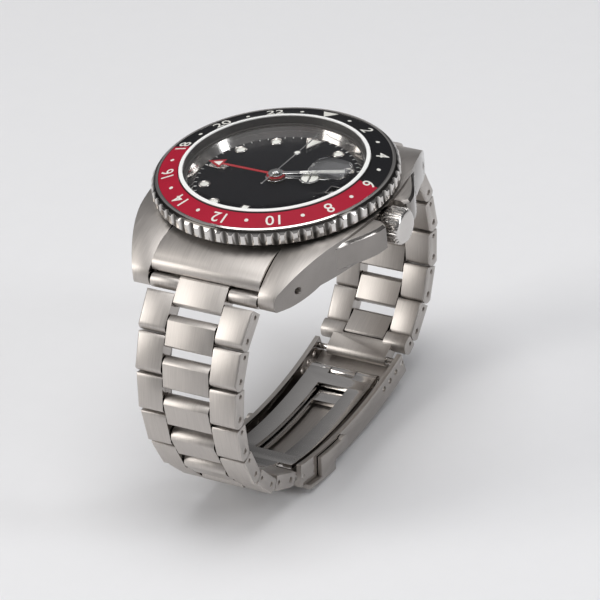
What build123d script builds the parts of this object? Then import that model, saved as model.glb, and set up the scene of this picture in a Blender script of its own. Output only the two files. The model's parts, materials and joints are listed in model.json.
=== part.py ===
"""Dual-time steel wristwatch on a three-piece-link bracelet, closed as it is worn.

Millimetres. The origin is the centre of the case back's outer face, +Z goes up through
the dial, +Y to 12 o'clock and +X to 3 o'clock, where the crown is.
Each function builds one piece or one family of pieces; parts() names them all.
"""

import os
from math import asin, cos, radians, sin, sqrt

from build123d import *

# ---- driving dimensions -------------------------------------------------------------
RUNNING = 0.05                 # radial clearance of a pin that turns in a hole
SIDE_GAP = 0.12                # sideways clearance between links

# case
FLANK_X = 19.6                 # half width of the case at 3 and 9 o'clock
LUG_TIP_Y = 24.5               # half of the lug-to-lug length
LUG_TIP_X = 12.9               # half width over the lugs at their tips
LUG_GAP = 20.1                 # room between a pair of lugs
CASE_BOTTOM, CASE_TOP = 1.5, 7.1
LUG_TOP_FLAT_Y, LUG_TIP_TOP = 12.0, 3.1
WALL_R = 17.4                  # case wall seen between the lugs
MOVEMENT_R, LEDGE_Z = 14.3, 5.2
BACK_BORE_R = 15.0
NECK_R, NECK_TOP = 15.4, 9.8
SPRING_BAR_Y, SPRING_BAR_Z = 20.4, 2.5
SPRING_BAR_R, SPRING_BAR_TIP_R = 0.75, 0.55
CROWN_Z, CROWN_R, CROWN_X0, CROWN_X1 = 4.2, 2.95, 19.9, 23.5
CROWN_TUBE_R, CROWN_FLUTES, STEM_R = 1.8, 28, 0.6
GUARD_INNER_Y = 3.3

# bezel, crystal, dial
BEZEL_R, BEZEL_BORE_R, BEZEL_BOTTOM, BEZEL_SCALLOPS = 20.0, 16.1, 7.45, 60
INSERT_R0, INSERT_R1, INSERT_Z0, INSERT_Z1, INSERT_T = 15.55, 18.75, 11.2, 10.45, 0.5
CRYSTAL_R, CRYSTAL_Z0, CRYSTAL_Z1 = 14.75, 10.05, 12.0
DIAL_R, DIAL_Z0, DIAL_Z1 = 14.2, 7.85, 8.25
MARKER_R, MARKER_H = 11.55, 0.3
DATE_X, DATE_W, DATE_H = 10.9, 2.7, 2.0
HAND_Z = {"hour": 8.72, "gmt": 9.06, "minute": 9.34, "seconds": 9.62}
TUBE_R = {"hour": (1.25, 1.05), "gmt": (0.98, 0.79), "minute": (0.72, 0.52)}
SECONDS_ARBOR_R = 0.42
HOUR_HEADING, MINUTE_HEADING = -76, -68      # degrees turned from 12 o'clock, at rest
GMT_HEADING, SECONDS_HEADING = 90, -3

# going train: pitch radii come from the tooth counts and each pair's centre distance
TEETH = {"barrel": 77, "centre_pinion": 11, "centre": 80, "third_pinion": 10,
         "third": 75, "fourth_pinion": 10, "fourth": 84, "escape_pinion": 7, "escape": 20}
BARREL_D, THIRD_D, ESCAPE_D = 6.16, 4.95, 4.55
BARREL_ANGLE, THIRD_ANGLE, ESCAPE_ANGLE = 160, 40, -60
PALLET_D, BALANCE_D = 2.9, 5.9       # from the escape wheel, on the same line
PLATE_Z0, PLATE_Z1 = LEDGE_Z, 6.8
CLAMP_ANGLES, CLAMP_R = (100, 280), 14.15
BRIDGE_Z0, BRIDGE_Z1 = 2.55, 3.05
BACK_FLOOR = 0.95
BALANCE_RIM_TOP = 3.7

# bracelet: hinge axes of one side, from the lug to the clasp
PITCH, LINK_T = 6.5, 2.8
HINGE_Y, HINGE_Z = 23.4, 1.0
ROW_SLOPES = [-46, -64, -80, -96, -113, -132, -154]
WIDTH_LUG, WIDTH_CLASP, CENTRE_SHARE = 19.6, 16.2, 0.455
PIN_R, FIXED_PIN_R = 0.5, 0.4
FIXED_PIN_S, CENTRE_END_S = 2.6, 3.4
END_R = PITCH / 4              # round end of each link about its hinge
FACE_GAP = 0.12
TONGUE_HALF, TONGUE_S0 = 5.6, 3.6   # tongue that the clasp's spring bar holds
EDGE = 0.25                    # bevel on the links' cross edges

# clasp
CLASP_R, CLASP_SHEET, CLASP_WALL_DEPTH = 75.0, 0.9, 3.9
CLASP_HALF_W, CLASP_WALL = 8.3, 0.85
CLASP_HINGE_Y, BLADE_HINGE_Y = -15.0, 13.6
PLATE_Y0, PLATE_Y1 = -15.6, 19.4
BLADE_T, BLADE_HALF_W = 0.75, 5.2
CLASP_PIN_R = 0.45
CLASP_DROP = 2.45              # from the clasp pivots down to the cover's outer face
CLASP_PIN_DEPTH, BLADE_HINGE_DEPTH = 1.75, 2.35      # below that face
MIDDLE_DEPTH, INNER_DEPTH = 1.4, 2.55
CATCH_T, CATCH_Y0, CATCH_Y1, CATCH_PIN_Y, CATCH_PIN_DEPTH = 0.7, -14.4, -6.3, -3.0, 2.6


# ---- small helpers ------------------------------------------------------------------
def ring(outer, inner, z0, z1):
    """A flat ring, or a disc where inner is 0."""
    face = Circle(outer) - Circle(inner) if inner else Circle(outer)
    return Pos(0, 0, z0) * extrude(face, z1 - z0)


def turned(points):
    """A solid of revolution about Z from (radius, height) points."""
    return revolve(make_face(Plane.XZ * Polyline(*points, close=True)), Axis.Z)


def across(face, x0, x1):
    """A YZ face made solid from x0 to x1."""
    return Pos(x0, 0, 0) * extrude(face, x1 - x0, dir=(1, 0, 0))


def side_polygon(points, x0, x1):
    return across(make_face(Plane.YZ * Polyline(*points, close=True)), x0, x1)


def rod_x(y, z, radius, x0, x1):
    """A round rod along X."""
    return across(Plane.YZ * Pos(y, z) * Circle(radius), x0, x1)


def both_sides(solid):
    """A piece at +x and its mirror image at -x."""
    return [solid, mirror(solid, Plane.YZ)]


def polar(radius, angle):
    return radius * cos(radians(angle)), radius * sin(radians(angle))


def gear(pitch_r, teeth, z0, z1, bore=0.0, depth=None):
    """A wheel with straight-sided teeth."""
    depth = depth or 2.0 * pitch_r / teeth
    tip, root = pitch_r + depth * 0.45, pitch_r - depth * 0.6
    points = []
    for n in range(teeth):
        middle = 360 * n / teeth
        for radius, part in ((root, -0.32), (tip, -0.11), (tip, 0.11), (root, 0.32)):
            points.append(polar(radius, middle + 360 * part / teeth))
    face = make_face(Polyline(*points, close=True))
    if bore:
        face -= Circle(bore)
    return Pos(0, 0, z0) * extrude(face, z1 - z0)


# ---- case ---------------------------------------------------------------------------
def case_outline():
    """The case in plan, without its crown guards: two long flank arcs cut off at the lug tips."""
    flank_r = (LUG_TIP_Y**2 + (FLANK_X - LUG_TIP_X) ** 2) / (2 * (FLANK_X - LUG_TIP_X))
    right = Pos(FLANK_X - flank_r, 0) * Circle(flank_r)
    left = Pos(flank_r - FLANK_X, 0) * Circle(flank_r)
    return right & left & Rectangle(60, 2 * LUG_TIP_Y)


def lug_profile():
    """The case seen from the side: flat top, lugs that curve down past the case back."""
    drop = CASE_TOP - LUG_TIP_TOP
    run = LUG_TIP_Y - 0.7 - LUG_TOP_FLAT_Y
    radius = (run**2 + drop**2) / (2 * drop)
    half = asin(run / radius) / 2
    mid = (LUG_TOP_FLAT_Y + radius * sin(half), CASE_TOP - radius * (1 - cos(half)))
    tip_y = LUG_TIP_Y - 0.7
    edges = []
    for side in (1, -1):
        def at(y, z, side=side):
            return (side * y, z)
        edges += [
            Line(at(0, CASE_TOP), at(LUG_TOP_FLAT_Y, CASE_TOP)),
            ThreePointArc(at(LUG_TOP_FLAT_Y, CASE_TOP), at(*mid), at(tip_y, LUG_TIP_TOP)),
            ThreePointArc(at(tip_y, LUG_TIP_TOP), at(LUG_TIP_Y - 0.02, 1.7), at(tip_y + 0.3, 0.15)),
            Line(at(tip_y + 0.3, 0.15), at(22.0, 0.1)),
            ThreePointArc(at(22.0, 0.1), at(19.2, 0.6), at(16.4, CASE_BOTTOM)),
            Line(at(16.4, CASE_BOTTOM), at(0, CASE_BOTTOM)),
        ]
    return make_face([Plane.YZ * e for e in edges])


def crown_guard():
    """One shoulder beside the crown, above the X axis in plan."""
    outline = make_face(
        Polyline((16.5, GUARD_INNER_Y), (21.3, GUARD_INNER_Y), (22.0, 4.0), (21.7, 5.6))
        + Spline((21.7, 5.6), (20.1, 8.9), (17.9, 12.8), tangents=[(-0.35, 1), (-0.5, 1)])
        + Polyline((17.9, 12.8), (16.5, 12.8), (16.5, GUARD_INNER_Y))
    )
    guard = Pos(0, 0, 2.0) * extrude(outline, 4.6)
    outer = guard.edges().filter_by(lambda e: e.center().X > 18.9 and abs(e.center().Z - 4.3) > 2.2)
    return chamfer(outer, 0.45)


def mid_case():
    body = extrude(case_outline(), 10) & across(lug_profile(), -30, 30)
    guard = crown_guard()
    body = body + guard + mirror(guard, Plane.XZ)
    body += ring(NECK_R, 0, CASE_TOP - 0.5, NECK_TOP)
    for side in (1, -1):
        gap = Pos(0, side * 30, 5) * Box(LUG_GAP, 60, 30)
        body -= gap - ring(WALL_R, 0, -10, 20)
    body -= ring(BACK_BORE_R, 0, 0, LEDGE_Z)
    body -= ring(MOVEMENT_R, 0, LEDGE_Z - 1, NECK_TOP + 1)
    body -= rod_x(SPRING_BAR_Y, SPRING_BAR_Z, SPRING_BAR_TIP_R + RUNNING, -20, 20)
    body -= rod_x(-SPRING_BAR_Y, SPRING_BAR_Z, SPRING_BAR_TIP_R + RUNNING, -20, 20)
    body -= rod_x(0, CROWN_Z, CROWN_TUBE_R, 10, FLANK_X + 5)
    return body


def case_back():
    """Screwed back with a wrench-fluted rim."""
    body = turned([
        (0, 0), (13.2, 0), (14.3, 0.3), (15.9, 0.3), (16.3, 0.6), (16.3, 1.2),
        (BACK_BORE_R - RUNNING, 1.2), (BACK_BORE_R - RUNNING, 3.3), (14.05, 3.3),
        (14.05, BACK_FLOOR), (0, BACK_FLOOR),
    ])
    flutes = [Pos(*polar(16.5, 10 * n), 0) * extrude(Circle(0.42), 1.3) for n in range(36)]
    return body - Compound(flutes)


def case_back_gasket():
    return ring(15.95, 15.15, 1.2, CASE_BOTTOM)


def crown_tube():
    return rod_x(0, CROWN_Z, CROWN_TUBE_R, 15.2, 21.6) - rod_x(0, CROWN_Z, STEM_R + RUNNING, 15, 22)


def crown():
    """Fluted screw-down crown, with a domed end, hollow over its tube."""
    points = []
    root = CROWN_R - 0.28
    for n in range(CROWN_FLUTES):
        for radius, share in ((CROWN_R, -0.25), (CROWN_R, 0.1), (root, 0.3), (root, 0.55)):
            points.append(polar(radius, 360 * (n + share) / CROWN_FLUTES))
    fluted = extrude(make_face(Polyline(*points, close=True)), CROWN_X1 - CROWN_X0)
    envelope = turned([
        (0, 0), (CROWN_R - 0.3, 0), (CROWN_R, 0.3), (CROWN_R, 2.9), (CROWN_R - 0.35, 3.3),
        (CROWN_R - 0.9, 3.5), (0, CROWN_X1 - CROWN_X0),
    ])
    body = (fluted & envelope) - ring(CROWN_TUBE_R + 0.1, 0, -1, 2.5)
    return Pos(CROWN_X0, 0, CROWN_Z) * Rot(0, 90, 0) * body


def winding_stem():
    return rod_x(0, CROWN_Z, STEM_R, 9.6, CROWN_X0 + 2.5)


def lug_spring_bars():
    bars = []
    for y in (SPRING_BAR_Y, -SPRING_BAR_Y):
        bar = rod_x(y, SPRING_BAR_Z, SPRING_BAR_R, -9.7, 9.7)
        bars.append(bar + rod_x(y, SPRING_BAR_Z, SPRING_BAR_TIP_R, -11.9, 11.9))
    return bars


# ---- bezel, crystal and dial --------------------------------------------------------
def insert_underside(radius):
    slope = (INSERT_Z1 - INSERT_Z0) / (INSERT_R1 - INSERT_R0)
    return INSERT_Z0 - INSERT_T + slope * (radius - INSERT_R0)


def bezel_ring():
    seat_r = INSERT_R1 + 0.03
    body = turned([
        (BEZEL_BORE_R, BEZEL_BOTTOM), (19.3, BEZEL_BOTTOM), (BEZEL_R, 8.1), (BEZEL_R, 9.6),
        (19.45, 10.3), (seat_r, 10.42), (seat_r, insert_underside(seat_r)),
        (BEZEL_BORE_R, insert_underside(BEZEL_BORE_R)),
    ])
    step = 360 / BEZEL_SCALLOPS
    scallops = [
        Pos(*polar(BEZEL_R + 0.42, step * n), BEZEL_BOTTOM - 1) * extrude(Circle(0.82), 5)
        for n in range(BEZEL_SCALLOPS)
    ]
    return body - Compound(scallops)


def bezel_insert():
    return turned([
        (INSERT_R0, INSERT_Z0), (INSERT_R1, INSERT_Z1), (INSERT_R1, INSERT_Z1 - INSERT_T),
        (INSERT_R0, INSERT_Z0 - INSERT_T),
    ])


def bezel_click_spring():
    """Flat spring washer under the bezel, with three raised click tabs."""
    washer = ring(18.6, 16.5, CASE_TOP + 0.01, CASE_TOP + 0.16)
    for angle in (30, 150, 270):
        tab = Pos(*polar(17.5, angle), CASE_TOP + 0.14) * Cylinder(
            0.5, 0.16, align=(Align.CENTER, Align.CENTER, Align.MIN))
        washer += tab
    return washer


def crystal_retainer():
    return ring(16.0, NECK_R + 0.01, CASE_TOP + 0.2, 10.5)


def crystal():
    """Flat sapphire with a bevelled rim."""
    return turned([
        (0, CRYSTAL_Z0), (CRYSTAL_R, CRYSTAL_Z0), (CRYSTAL_R, CRYSTAL_Z1 - 0.3),
        (CRYSTAL_R - 0.3, CRYSTAL_Z1), (0, CRYSTAL_Z1),
    ])


def crystal_gasket():
    return turned([
        (CRYSTAL_R + 0.01, 11.55), (CRYSTAL_R + 0.01, CRYSTAL_Z0 - 0.01), (14.35, CRYSTAL_Z0 - 0.01),
        (14.35, NECK_TOP + 0.02), (NECK_R - 0.01, NECK_TOP + 0.02), (NECK_R - 0.01, 11.45),
        (NECK_R - 0.12, 11.55),
    ])


def date_lens():
    """Plano-convex magnifier on the crystal, with rounded corners in plan."""
    plan = Pos(DATE_X - 0.5, 0, CRYSTAL_Z1) * extrude(RectangleRounded(6.4, 4.8, 1.1), 2)
    radius = 11.0
    dome = Pos(DATE_X - 0.5, 0, CRYSTAL_Z1 + 1.05 - radius) * Sphere(radius)
    return plan & dome


def rehaut_ring():
    return turned([
        (13.35, DIAL_Z1), (MOVEMENT_R - 0.02, DIAL_Z1), (MOVEMENT_R - 0.02, NECK_TOP),
        (14.15, NECK_TOP),
    ])


def dial():
    body = ring(DIAL_R, 1.4, DIAL_Z0, DIAL_Z1)
    body -= Pos(DATE_X, 0, DIAL_Z0) * Box(DATE_W, DATE_H, 3)
    for angle in (75, 255):
        body += Pos(*polar(13.85, angle), DIAL_Z0 - 0.6) * extrude(Circle(0.25), 0.7)
    return body


def hour_markers():
    """Eight round plots, a triangle at 12, batons at 6 and 9."""
    z = DIAL_Z1
    markers = []
    for hour in (1, 2, 4, 5, 7, 8, 10, 11):
        markers.append(Pos(*polar(MARKER_R, 90 - 30 * hour), z) * extrude(Circle(0.98), MARKER_H))
    top, base, half = 9.6, 12.75, 1.55
    markers.append(Pos(0, 0, z) * extrude(
        make_face(Polyline((0, top), (half, base), (-half, base), close=True)), MARKER_H))
    baton = extrude(RectangleRounded(1.35, 3.3, 0.1), MARKER_H)
    markers.append(Pos(0, -10.9, z) * baton)
    markers.append(Pos(-10.9, 0, z) * Rot(0, 0, 90) * baton)
    return markers


# ---- hands and motion works ---------------------------------------------------------
def flat(face, z, thickness=0.12):
    return Pos(0, 0, z) * extrude(face, thickness)


def blade(tail, neck, tip, width_neck, width_tip, point):
    """A tapered hand outline that points to 12: tail, straight flanks, pointed tip."""
    return make_face(Polyline(
        (-width_neck / 2, tail), (-width_neck / 2, neck), (-width_tip / 2, tip),
        (0, tip + point), (width_tip / 2, tip), (width_neck / 2, neck), (width_neck / 2, tail),
        close=True,
    ))


def hour_hand(heading):
    """Baton with a round luminous window near its tip."""
    face = Circle(1.75) + blade(0, 1.0, 7.9, 0.9, 0.75, 1.2)
    face += Pos(0, 5.6) * Circle(1.75)
    face -= Pos(0, 5.6) * Circle(1.35)
    face += Pos(0, 5.6) * Rectangle(2.9, 0.34)
    face -= Circle(TUBE_R["hour"][0])
    return Rot(0, 0, heading) * flat(face, HAND_Z["hour"])


def minute_hand(heading):
    face = Circle(1.25) + blade(0, 3.2, 11.3, 0.75, 1.5, 1.3)
    face -= make_face(Polyline((-0.2, 3.9), (0.2, 3.9), (0.46, 11.1), (-0.46, 11.1), close=True))
    face -= Circle(TUBE_R["minute"][0])
    return Rot(0, 0, heading) * flat(face, HAND_Z["minute"])


def gmt_hand(heading):
    """Slim hand with a wide arrowhead."""
    face = Circle(1.5) + Pos(0, 5.2) * Rectangle(0.5, 10.4)
    face += make_face(Polyline((-1.35, 9.9), (0, 12.6), (1.35, 9.9), close=True))
    face -= make_face(Polyline((-0.7, 10.2), (0, 11.6), (0.7, 10.2), close=True))
    face -= Circle(TUBE_R["gmt"][0])
    return Rot(0, 0, heading) * flat(face, HAND_Z["gmt"])


def seconds_hand(heading):
    face = Circle(0.85) + Pos(0, 4.4) * Rectangle(0.24, 17.0)
    face += Pos(0, 6.4) * Circle(0.62)
    face -= Circle(SECONDS_ARBOR_R)
    return Rot(0, 0, heading) * flat(face, HAND_Z["seconds"], 0.1)


def wheel_on_tube(name, pitch_r, teeth, z):
    """A motion-works wheel on the tube that carries its hand."""
    outer, inner = TUBE_R[name]
    tube = ring(outer, inner, z, HAND_Z[name] + 0.14)
    return gear(pitch_r, teeth, z, z + 0.12, bore=inner) + tube


def hour_wheel():
    return wheel_on_tube("hour", 3.4, 40, 7.42)


def gmt_wheel():
    return wheel_on_tube("gmt", 3.0, 36, 7.18)


def cannon_pinion():
    return wheel_on_tube("minute", 1.5, 15, 6.92)


def date_disc():
    """Ring of 31 dates with its inner driving teeth."""
    inner = gear(8.8, 31, 7.0, 7.3, depth=0.5)
    return ring(13.55, 0, 7.0, 7.3) - inner


# ---- movement -----------------------------------------------------------------------
BARREL = polar(BARREL_D, BARREL_ANGLE)
THIRD = polar(THIRD_D, THIRD_ANGLE)
ESCAPE = polar(ESCAPE_D, ESCAPE_ANGLE)
PALLET = polar(ESCAPE_D + PALLET_D, ESCAPE_ANGLE)
BALANCE = polar(ESCAPE_D + BALANCE_D, ESCAPE_ANGLE)


def pitch_radius(distance, wheel, pinion, which):
    return distance * TEETH[which] / (TEETH[wheel] + TEETH[pinion])


def arbor(radius, z0=BRIDGE_Z1 + 0.04, z1=PLATE_Z0 - 0.04):
    return ring(radius, 0, z0, z1)


def spoked(pitch_r, teeth, z0, z1, hub, spokes=4):
    """A toothed wheel with its web crossed out."""
    wheel = gear(pitch_r, teeth, z0, z1)
    rim = pitch_r - 0.55
    web = ring(rim, hub, z0 - 1, z1 + 1)
    for n in range(spokes):
        bar = Rot(0, 0, 360 * n / spokes) * Pos(rim / 2, 0, (z0 + z1) / 2) * Box(rim, 0.45, 5)
        web -= bar
    return wheel - web


def movement_plate():
    plate = ring(DIAL_R, 0, PLATE_Z0, PLATE_Z1)
    plate += ring(DIAL_R, 13.7, PLATE_Z1 - 0.1, DIAL_Z0)
    for angle in (75, 255):
        plate -= Pos(*polar(13.85, angle), PLATE_Z1) * extrude(Circle(0.3), 2)
    plate -= ring(TUBE_R["minute"][0] + 0.08, 0, PLATE_Z0 - 1, PLATE_Z1 + 1)
    for angle in CLAMP_ANGLES:
        plate -= Pos(*polar(CLAMP_R - 0.75, angle), PLATE_Z0 - 1) * extrude(Circle(0.35), 2.0)
    return plate


def post(x, y):
    return Pos(x, y, BRIDGE_Z1 - 0.1) * extrude(Circle(0.8), PLATE_Z0 - BRIDGE_Z1 + 0.1)


def train_bridge():
    """Bridge over barrel and train, on three posts, with the rotor's centre boss."""
    plan = Circle(13.4) - Pos(0, -16.2) * Rectangle(40, 20)
    bridge = Pos(0, 0, BRIDGE_Z0) * extrude(plan, BRIDGE_Z1 - BRIDGE_Z0)
    for spot in ((11.4, 3.2), (0.8, 11.6), (-11.2, -4.4)):
        bridge += post(*spot)
    return bridge


def balance_bridge():
    plan = make_face(Polyline((-2.6, -10.2), (-1.6, -12.6), (9.6, -9.2), (12.4, -6.6), (9.8, -6.5),
                              close=True))
    bridge = Pos(0, 0, BRIDGE_Z0) * extrude(plan, BRIDGE_Z1 - BRIDGE_Z0)
    for spot in ((-1.0, -11.0), (10.9, -7.0)):
        bridge += post(*spot)
    return bridge


def barrel():
    pitch = pitch_radius(BARREL_D, "barrel", "centre_pinion", "barrel")
    body = gear(pitch, TEETH["barrel"], 4.1, 4.45) + ring(pitch - 0.4, 0, 3.9, 4.6)
    body += arbor(0.8)
    return Pos(*BARREL) * body


def centre_wheel():
    pinion = pitch_radius(BARREL_D, "barrel", "centre_pinion", "centre_pinion")
    pitch = pitch_radius(THIRD_D, "centre", "third_pinion", "centre")
    body = spoked(pitch, TEETH["centre"], 4.72, 4.88, 0.9)
    body += gear(pinion, TEETH["centre_pinion"], 3.95, 4.74)
    return body - ring(TUBE_R["minute"][1], 0, 3, 6)


def third_wheel():
    pinion = pitch_radius(THIRD_D, "centre", "third_pinion", "third_pinion")
    pitch = pitch_radius(THIRD_D, "third", "fourth_pinion", "third")
    body = spoked(pitch, TEETH["third"], 3.55, 3.7, 0.7)
    body += gear(pinion, TEETH["third_pinion"], 4.6, 5.0) + arbor(0.22)
    return Pos(*THIRD) * body


def fourth_wheel():
    """Seconds wheel: its long arbor runs up through the centre to the seconds hand."""
    pinion = pitch_radius(THIRD_D, "third", "fourth_pinion", "fourth_pinion")
    pitch = pitch_radius(ESCAPE_D, "fourth", "escape_pinion", "fourth")
    body = spoked(pitch, TEETH["fourth"], 3.14, 3.3, 0.8)
    body += gear(pinion, TEETH["fourth_pinion"], 3.28, 3.8)
    return body + ring(SECONDS_ARBOR_R, 0, BRIDGE_Z1 + 0.04, HAND_Z["seconds"] + 0.16)


def escape_wheel():
    """Twenty hooked teeth."""
    pinion = pitch_radius(ESCAPE_D, "fourth", "escape_pinion", "escape_pinion")
    points = []
    for n in range(TEETH["escape"]):
        start = 360 * n / TEETH["escape"]
        points += [polar(1.55, start), polar(2.2, start + 3), polar(2.15, start + 7),
                   polar(1.6, start + 8)]
    wheel = Pos(0, 0, 4.2) * extrude(make_face(Polyline(*points, close=True)), 0.14)
    return Pos(*ESCAPE) * (wheel + gear(pinion, TEETH["escape_pinion"], 3.1, 3.5) + arbor(0.18))


def pallet_fork():
    """Lever with two pallets towards the escape wheel and a fork towards the balance.

    Its arbor hangs from the plate and stops above the balance's rim, which swings past it.
    """
    plan = Circle(0.45) + Pos(0, -0.85) * Rectangle(0.3, 1.7)
    plan += Pos(0, -1.75) * Rectangle(0.8, 0.2)
    plan += make_face(Polyline((-1.5, 0.55), (-1.2, 0.75), (0, 0.2), (1.2, 0.75), (1.5, 0.55),
                               (0, -0.2), close=True))
    lever = Pos(0, 0, 4.2) * extrude(plan, 0.14) + arbor(0.16, z0=BALANCE_RIM_TOP + 0.12)
    return Pos(*PALLET) * Rot(0, 0, ESCAPE_ANGLE + 90) * lever


def balance_wheel():
    rim = ring(3.5, 3.1, 3.4, BALANCE_RIM_TOP) + Pos(0, 0, 3.5) * extrude(Rectangle(6.4, 0.5), 0.12)
    rim += Pos(0, 0, 4.1) * extrude(Circle(0.55), 0.08)
    return Pos(*BALANCE) * (rim + arbor(0.2))


def hairspring():
    """Flat spiral from the collet outwards, drawn as a band between two Archimedean curves."""
    turns, start, pitch, band = 6, 0.4, 0.27, 0.07
    steps = 24 * turns

    def spiral(offset):
        shares = [turns * t / steps for t in range(steps + 1)]
        return [polar(start + offset + pitch * share, 360 * share) for share in shares]
    inner, outer = spiral(0), spiral(band)
    edges = Spline(*inner) + Line(inner[-1], outer[-1])
    edges += Spline(*reversed(outer)) + Line(outer[0], inner[0])
    band_face = make_face(edges)
    collet = ring(0.48, 0.2 + RUNNING, 3.82, 3.98)
    return Pos(*BALANCE) * (Pos(0, 0, 3.84) * extrude(band_face, 0.12) + collet)


def rotor():
    """Half-disc winding weight with a heavy rim."""
    half = Circle(13.4) - Pos(0, -14.2) * Rectangle(30, 30)
    web = Pos(0, 0, 2.05) * extrude(half + Circle(2.2), 0.25)
    rim = Pos(0, 0, 1.25) * extrude(half - Circle(10.8), 1.0)
    return web + rim - ring(1.05 + RUNNING, 0, 0, 4)


def rotor_bearing():
    return ring(1.05, 0, 1.6, BRIDGE_Z0) + ring(1.5, 0, 1.4, 1.75) - ring(0.35, 0, 1.3, 1.7)


def casing_clamps():
    """Two clamps and their screws, which hold the movement in the case."""
    pieces = []
    for angle in CLAMP_ANGLES:
        turn = Rot(0, 0, angle)
        clamp = Pos(0, 0, LEDGE_Z - 0.4) * extrude(Pos(CLAMP_R - 0.3, 0) * Rectangle(2.1, 2.6), 0.4)
        clamp &= ring(BACK_BORE_R - RUNNING, 0, 0, 9)
        clamp -= Pos(CLAMP_R - 0.75, 0, LEDGE_Z - 1) * extrude(Circle(0.35), 2)
        screw = Pos(CLAMP_R - 0.75, 0, LEDGE_Z - 0.4) * extrude(Circle(0.35), 1.3)
        head = Pos(CLAMP_R - 0.75, 0, LEDGE_Z - 0.8) * extrude(Circle(0.65) - Rectangle(2, 0.22), 0.25)
        head += Pos(CLAMP_R - 0.75, 0, LEDGE_Z - 0.56) * extrude(Circle(0.65), 0.16)
        pieces += [turn * clamp, turn * (screw + head)]
    return pieces


# ---- bracelet -----------------------------------------------------------------------
def width_at(distance):
    """The bracelet's full width at a distance from the first hinge."""
    share = min(max(distance / (PITCH * (len(ROW_SLOPES) - 0.5)), 0), 1)
    return WIDTH_LUG + (WIDTH_CLASP - WIDTH_LUG) * share


def centre_half(row):
    return CENTRE_SHARE * width_at(PITCH * row) / 2


def round_end_profile(start, centre, faces_back=False):
    """A link in side view: bevelled flat face at start, round end about centre."""
    half = LINK_T / 2
    side = -1 if faces_back else 1
    shoulder = centre + side * sqrt(END_R**2 - half**2)
    edges = [
        Line((start + side * EDGE, half), (shoulder, half)),
        ThreePointArc((shoulder, half), (centre + side * END_R, 0), (shoulder, -half)),
        Line((shoulder, -half), (start + side * EDGE, -half)),
        Line((start + side * EDGE, -half), (start, -half + EDGE)),
        Line((start, -half + EDGE), (start, half - EDGE)),
        Line((start, half - EDGE), (start + side * EDGE, half)),
    ]
    return make_face([Plane.YZ * e for e in edges])


def taper(row, inner_x, s0, s1):
    """Plan of an outer link: straight inside edge, outer edge that follows the taper."""
    front, back = (width_at(PITCH * row + s) / 2 for s in (s0, s1))
    plan = make_face(Polyline((inner_x, s0), (front, s0), (back, s1), (inner_x, s1), close=True))
    block = Pos(0, 0, -LINK_T) * extrude(plan, 2 * LINK_T)
    return block


def soften(link, x_least):
    """Bevels the long edges on a link's outer side."""
    edges = link.edges().filter_by(
        lambda e: e.length > 3 and e.center().X > x_least and abs(abs(e.center().Z) - LINK_T / 2) < 0.01
    )
    return chamfer(edges, 0.22)


def outer_link(row, s_end=None):
    """Outer link at +x of a row, in the row's own frame: y along the bracelet, z outwards."""
    inner_x = centre_half(row) + SIDE_GAP
    start = END_R + FACE_GAP
    if s_end is None:
        profile = round_end_profile(start, PITCH)
        s_end = PITCH + END_R
    else:
        profile = round_end_profile(start, s_end - END_R)
    link = across(profile, inner_x, 12) & taper(row, inner_x, start - 1, s_end + 1)
    link = soften(link, inner_x + 1)
    return link - rod_x(FIXED_PIN_S, 0, FIXED_PIN_R, 0, 12)


def centre_link(row):
    half = centre_half(row)
    link = across(round_end_profile(CENTRE_END_S, 0, faces_back=True), -half, half)
    link -= rod_x(0, 0, PIN_R + RUNNING, -12, 12)
    return link - rod_x(FIXED_PIN_S, 0, FIXED_PIN_R, -12, 12)


def pin(row, s, radius=PIN_R, inset=0.2):
    half = width_at(PITCH * row + s) / 2 - inset
    return rod_x(s, 0, radius, -half, half)


def link_row(row, end=None):
    """One row: outer links, centre link, fixed pin and the pin of the next hinge.

    end is "clasp_cover" for the row that the clasp's spring bar holds, and
    "clasp_blade" for the row that takes the folding blade's end.
    """
    pieces = [centre_link(row), pin(row, FIXED_PIN_S, FIXED_PIN_R)]
    if end == "clasp_cover":
        last = PITCH - 2.0
        outer = outer_link(row, s_end=last)
        tongue = Pos(0, (TONGUE_S0 + PITCH) / 2, 0) * Box(2 * TONGUE_HALF, PITCH - TONGUE_S0, 2.2)
        tongue += rod_x(PITCH, 0, 1.1, -TONGUE_HALF, TONGUE_HALF)
        tongue -= rod_x(PITCH, 0, PIN_R + RUNNING, -12, 12)
        joined = outer + mirror(outer, Plane.YZ) + tongue
        return pieces + joined.solids()
    outer = outer_link(row) - rod_x(PITCH, 0, PIN_R, 0, 12)
    pieces += both_sides(outer)
    if end == "clasp_blade":
        inner_x = centre_half(row) + SIDE_GAP
        half = width_at(PITCH * (row + 1)) / 2 - 0.2
        return pieces + both_sides(rod_x(PITCH, 0, PIN_R, inner_x, half))
    return pieces + [pin(row, PITCH)]


def hinge_points():
    """(y, z) of each hinge on the 12 o'clock side, from the lug to the clasp."""
    points = [(HINGE_Y, HINGE_Z)]
    for slope in ROW_SLOPES:
        y, z = points[-1]
        points.append((y + PITCH * cos(radians(slope)), z + PITCH * sin(radians(slope))))
    return points


HINGES = hinge_points()
CLASP_PIVOT = HINGES[-1]


def in_place(row, pieces, side):
    """Moves a row from its own frame to its place on the 12 (side 1) or 6 o'clock side (-1)."""
    y, z = HINGES[row]
    spot = Pos(0, y, z) * Rot(ROW_SLOPES[row], 0, 0)
    if side < 0:
        spot = Rot(0, 0, 180) * spot
    return [spot * piece for piece in pieces]


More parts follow.
